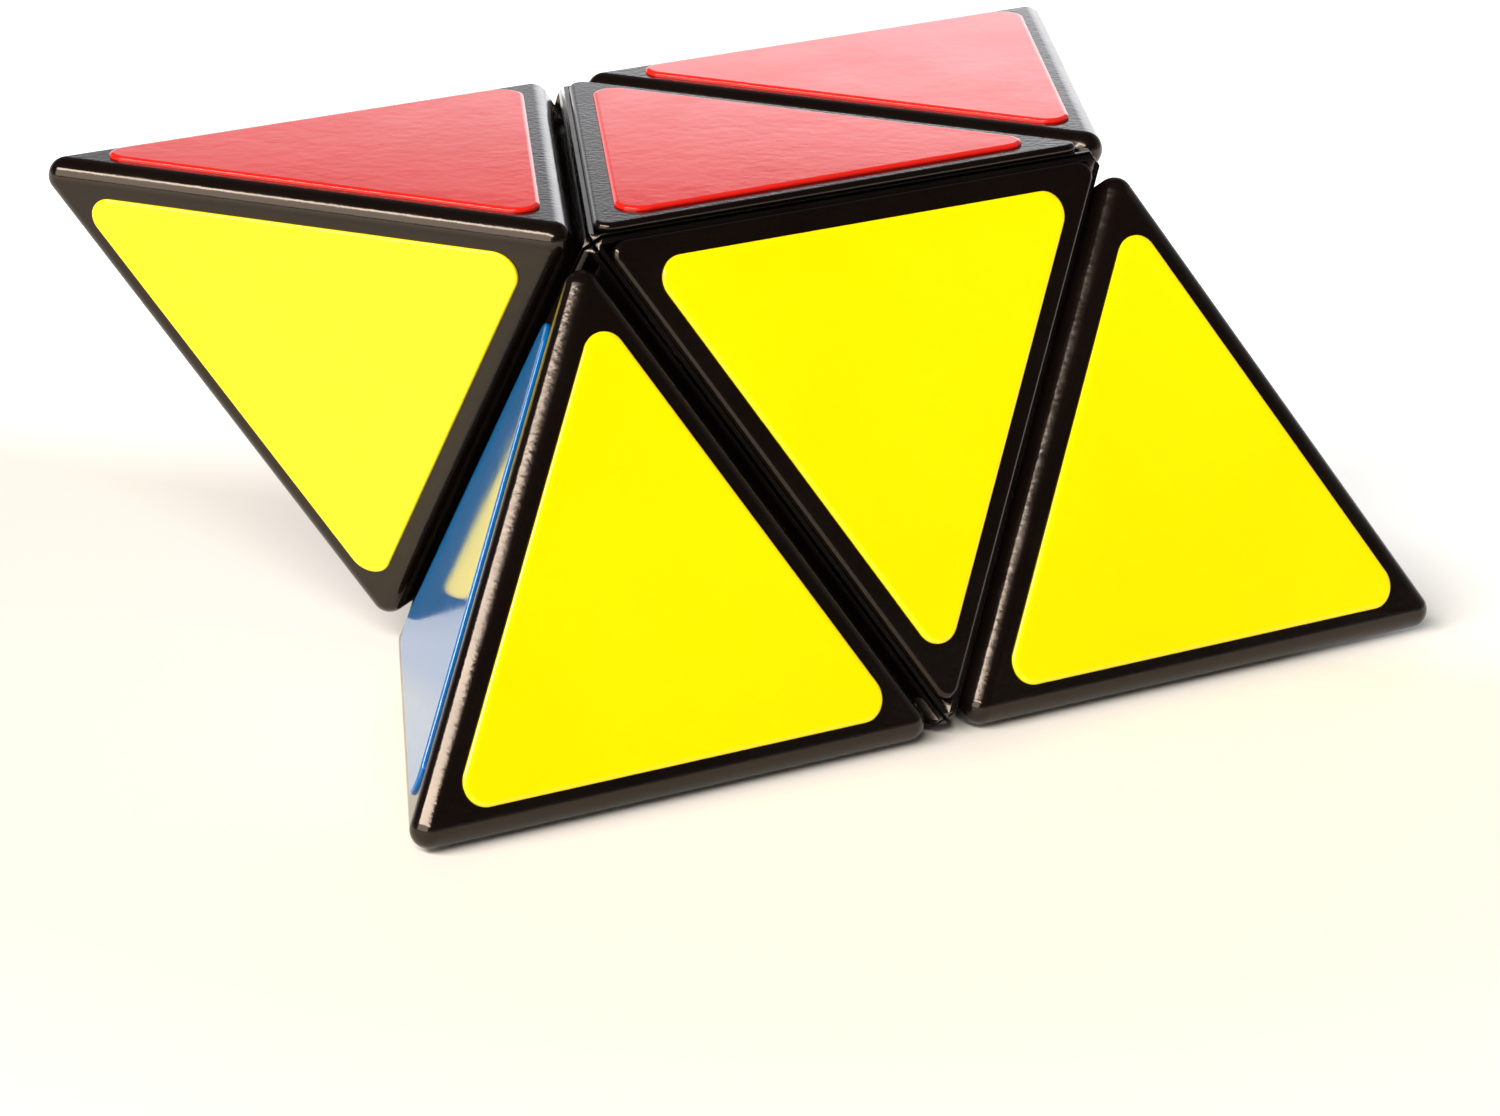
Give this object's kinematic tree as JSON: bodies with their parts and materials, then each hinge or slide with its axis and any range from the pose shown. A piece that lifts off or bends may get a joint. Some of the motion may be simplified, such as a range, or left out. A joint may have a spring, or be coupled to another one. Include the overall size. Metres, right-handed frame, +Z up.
{
  "type": "pyramid twisty puzzle",
  "caption": "Twisty pyramid puzzle whose corner and face-centre pieces turn in halves about crossed axes, resting one quarter turn from closed.",
  "frame": {"origin": "centre of the core, where the three turning axes cross, which is also the middle of the box around the puzzle", "axes": "+Z up from the two corners and the face centre it lies on, +X to the right along the front edge, +Y to the back"},
  "size_m": [0.092, 0.0542, 0.0398],
  "materials": {
    "outer_plastic": "gloss black moulding with a faint grain on its flats",
    "base_plastic": "gloss black moulding",
    "mechanism_plastic": "satin",
    "core_plastic": "satin",
    "steel": "plain bright zinc",
    "sticker_yellow": "gloss vinyl",
    "sticker_red": "gloss vinyl",
    "sticker_blue": "gloss vinyl",
    "sticker_green": "gloss vinyl"
  },
  "bodies": {
    "core_frame": {"core": "core_plastic", "axle_screws": "steel", "springs": "steel", "washers": "steel"},
    "cap_front": {"cap_front": "mechanism_plastic"},
    "cap_back": {"cap_back": "mechanism_plastic"},
    "cap_upper_right": {"cap_upper_right": "mechanism_plastic"},
    "cap_lower_left": {"cap_lower_left": "mechanism_plastic"},
    "cap_upper_left": {"cap_upper_left": "mechanism_plastic"},
    "cap_lower_right": {"cap_lower_right": "mechanism_plastic"},
    "edge_front_upper_right": {"edge_front_upper_right": "mechanism_plastic"},
    "edge_front_lower_left": {"edge_front_lower_left": "mechanism_plastic"},
    "edge_back_upper_right": {"edge_back_upper_right": "mechanism_plastic"},
    "edge_back_lower_left": {"edge_back_lower_left": "mechanism_plastic"},
    "edge_front_upper_left": {"edge_front_upper_left": "mechanism_plastic"},
    "edge_front_lower_right": {"edge_front_lower_right": "mechanism_plastic"},
    "edge_back_upper_left": {"edge_back_upper_left": "mechanism_plastic"},
    "edge_back_lower_right": {"edge_back_lower_right": "mechanism_plastic"},
    "edge_upper_right_upper_left": {"edge_upper_right_upper_left": "mechanism_plastic"},
    "edge_upper_right_lower_right": {"edge_upper_right_lower_right": "mechanism_plastic"},
    "edge_lower_left_upper_left": {"edge_lower_left_upper_left": "mechanism_plastic"},
    "edge_lower_left_lower_right": {"edge_lower_left_lower_right": "mechanism_plastic"},
    "corner_front_left": {"base_front_left": "base_plastic", "shell_front_left": "outer_plastic", "sticker_front_left_yellow": "sticker_yellow", "sticker_front_left_blue": "sticker_blue", "sticker_front_left_green": "sticker_green"},
    "corner_front_right": {"base_front_right": "base_plastic", "shell_front_right": "outer_plastic", "sticker_front_right_yellow": "sticker_yellow", "sticker_front_right_red": "sticker_red", "sticker_front_right_green": "sticker_green"},
    "corner_back_left": {"base_back_left": "base_plastic", "shell_back_left": "outer_plastic", "sticker_back_left_yellow": "sticker_yellow", "sticker_back_left_red": "sticker_red", "sticker_back_left_blue": "sticker_blue"},
    "corner_back_right": {"base_back_right": "base_plastic", "shell_back_right": "outer_plastic", "sticker_back_right_green": "sticker_green", "sticker_back_right_red": "sticker_red", "sticker_back_right_blue": "sticker_blue"},
    "centre_front": {"base_centre_front": "base_plastic", "plate_front": "outer_plastic", "sticker_centre_front_yellow": "sticker_yellow"},
    "centre_top": {"base_centre_top": "base_plastic", "plate_top": "outer_plastic", "sticker_centre_top_red": "sticker_red"},
    "centre_bottom": {"base_centre_bottom": "base_plastic", "plate_bottom": "outer_plastic", "sticker_centre_bottom_green": "sticker_green"},
    "centre_back": {"base_centre_back": "base_plastic", "plate_back": "outer_plastic", "sticker_centre_back_blue": "sticker_blue"}
  },
  "joints": [
    {"name": "turn_front", "type": "hinge", "parent": "cap_upper_left", "child": "edge_front_upper_left", "pos_m": [0, 0, 0], "axis": [0, -0.8165, -0.5773], "continuous": true},
    {"name": "turn_back", "type": "hinge", "parent": "cap_upper_left", "child": "edge_back_upper_left", "pos_m": [0, 0, 0], "axis": [0, -0.8165, -0.5773], "continuous": true},
    {"name": "turn_upper_right", "type": "hinge", "parent": "core_frame", "child": "cap_upper_right", "pos_m": [0, 0, 0], "axis": [0.7071, -0.4082, 0.5774], "continuous": true},
    {"name": "turn_lower_left", "type": "hinge", "parent": "core_frame", "child": "cap_lower_left", "pos_m": [0, 0, 0], "axis": [0.7071, -0.4082, 0.5774], "continuous": true},
    {"name": "turn_upper_left", "type": "hinge", "parent": "core_frame", "child": "cap_upper_left", "pos_m": [0, 0, 0], "axis": [-0.7071, -0.4082, 0.5774], "continuous": true},
    {"name": "turn_lower_right", "type": "hinge", "parent": "core_frame", "child": "cap_lower_right", "pos_m": [0, 0, 0], "axis": [-0.7071, -0.4082, 0.5774], "continuous": true},
    {"name": "follow_edge_front_upper_right", "type": "hinge", "parent": "cap_front", "child": "edge_front_upper_right", "pos_m": [0, 0, 0], "axis": [0.7071, -0.4082, 0.5774], "continuous": true},
    {"name": "follow_edge_front_lower_left", "type": "hinge", "parent": "cap_front", "child": "edge_front_lower_left", "pos_m": [0, 0, 0], "axis": [0.7071, -0.4082, 0.5774], "continuous": true},
    {"name": "follow_edge_back_upper_right", "type": "hinge", "parent": "cap_back", "child": "edge_back_upper_right", "pos_m": [0, 0, 0], "axis": [0.7071, -0.4082, 0.5774], "continuous": true},
    {"name": "follow_edge_back_lower_left", "type": "hinge", "parent": "cap_back", "child": "edge_back_lower_left", "pos_m": [0, 0, 0], "axis": [0.7071, -0.4082, 0.5774], "continuous": true},
    {"name": "follow_cap_front", "type": "hinge", "parent": "core_frame", "child": "cap_front", "pos_m": [0, 0, 0], "axis": [0, -0.8165, -0.5773], "continuous": true},
    {"name": "follow_edge_front_lower_right", "type": "hinge", "parent": "cap_lower_right", "child": "edge_front_lower_right", "pos_m": [0, 0, 0], "axis": [0, -0.8165, -0.5773], "continuous": true},
    {"name": "follow_cap_back", "type": "hinge", "parent": "core_frame", "child": "cap_back", "pos_m": [0, 0, 0], "axis": [0, -0.8165, -0.5773], "continuous": true},
    {"name": "follow_edge_back_lower_right", "type": "hinge", "parent": "cap_lower_right", "child": "edge_back_lower_right", "pos_m": [0, 0, 0], "axis": [0, -0.8165, -0.5773], "continuous": true},
    {"name": "follow_edge_upper_right_upper_left", "type": "hinge", "parent": "cap_upper_right", "child": "edge_upper_right_upper_left", "pos_m": [0, 0, 0], "axis": [-0.7071, -0.4082, 0.5774], "continuous": true},
    {"name": "follow_edge_upper_right_lower_right", "type": "hinge", "parent": "cap_upper_right", "child": "edge_upper_right_lower_right", "pos_m": [0, 0, 0], "axis": [-0.7071, -0.4082, 0.5774], "continuous": true},
    {"name": "follow_edge_lower_left_upper_left", "type": "hinge", "parent": "cap_lower_left", "child": "edge_lower_left_upper_left", "pos_m": [0, 0, 0], "axis": [-0.7071, -0.4082, 0.5774], "continuous": true},
    {"name": "follow_edge_lower_left_lower_right", "type": "hinge", "parent": "cap_lower_left", "child": "edge_lower_left_lower_right", "pos_m": [0, 0, 0], "axis": [-0.7071, -0.4082, 0.5774], "continuous": true},
    {"name": "follow_corner_front_left", "type": "hinge", "parent": "edge_front_upper_left", "child": "corner_front_left", "pos_m": [0, 0, 0], "axis": [0.7071, -0.4082, 0.5774], "continuous": true},
    {"name": "follow_corner_front_right", "type": "hinge", "parent": "edge_front_lower_right", "child": "corner_front_right", "pos_m": [0, 0, 0], "axis": [0.7071, -0.4082, 0.5774], "continuous": true},
    {"name": "follow_corner_back_left", "type": "hinge", "parent": "edge_back_upper_left", "child": "corner_back_left", "pos_m": [0, 0, 0], "axis": [0.7071, -0.4082, 0.5774], "continuous": true},
    {"name": "follow_corner_back_right", "type": "hinge", "parent": "edge_back_lower_right", "child": "corner_back_right", "pos_m": [0, 0, 0], "axis": [0.7071, -0.4082, 0.5774], "continuous": true},
    {"name": "follow_centre_front", "type": "hinge", "parent": "edge_front_upper_left", "child": "centre_front", "pos_m": [0, 0, 0], "axis": [0.7071, -0.4082, 0.5774], "continuous": true},
    {"name": "follow_centre_top", "type": "hinge", "parent": "edge_back_upper_left", "child": "centre_top", "pos_m": [0, 0, 0], "axis": [0.7071, -0.4082, 0.5774], "continuous": true},
    {"name": "follow_centre_bottom", "type": "hinge", "parent": "edge_front_lower_right", "child": "centre_bottom", "pos_m": [0, 0, 0], "axis": [0.7071, -0.4082, 0.5774], "continuous": true},
    {"name": "follow_centre_back", "type": "hinge", "parent": "edge_back_lower_right", "child": "centre_back", "pos_m": [0, 0, 0], "axis": [0.7071, -0.4082, 0.5774], "continuous": true}
  ],
  "couplings": [
    {"joint": "follow_edge_front_upper_right", "follows": "turn_upper_right", "ratio": 1},
    {"joint": "follow_edge_front_lower_left", "follows": "turn_lower_left", "ratio": 1},
    {"joint": "follow_edge_back_upper_right", "follows": "turn_upper_right", "ratio": 1},
    {"joint": "follow_edge_back_lower_left", "follows": "turn_lower_left", "ratio": 1},
    {"joint": "follow_cap_front", "follows": "turn_front", "ratio": 1},
    {"joint": "follow_edge_front_lower_right", "follows": "turn_front", "ratio": 1},
    {"joint": "follow_cap_back", "follows": "turn_back", "ratio": 1},
    {"joint": "follow_edge_back_lower_right", "follows": "turn_back", "ratio": 1},
    {"joint": "follow_edge_upper_right_upper_left", "follows": "turn_upper_left", "ratio": 1},
    {"joint": "follow_edge_upper_right_lower_right", "follows": "turn_lower_right", "ratio": 1},
    {"joint": "follow_edge_lower_left_upper_left", "follows": "turn_upper_left", "ratio": 1},
    {"joint": "follow_edge_lower_left_lower_right", "follows": "turn_lower_right", "ratio": 1},
    {"joint": "follow_corner_front_left", "follows": "turn_lower_left", "ratio": 1},
    {"joint": "follow_corner_front_right", "follows": "turn_upper_right", "ratio": 1},
    {"joint": "follow_corner_back_left", "follows": "turn_lower_left", "ratio": 1},
    {"joint": "follow_corner_back_right", "follows": "turn_upper_right", "ratio": 1},
    {"joint": "follow_centre_front", "follows": "turn_upper_right", "ratio": 1},
    {"joint": "follow_centre_top", "follows": "turn_upper_right", "ratio": 1},
    {"joint": "follow_centre_bottom", "follows": "turn_lower_left", "ratio": 1},
    {"joint": "follow_centre_back", "follows": "turn_lower_left", "ratio": 1}
  ]
}
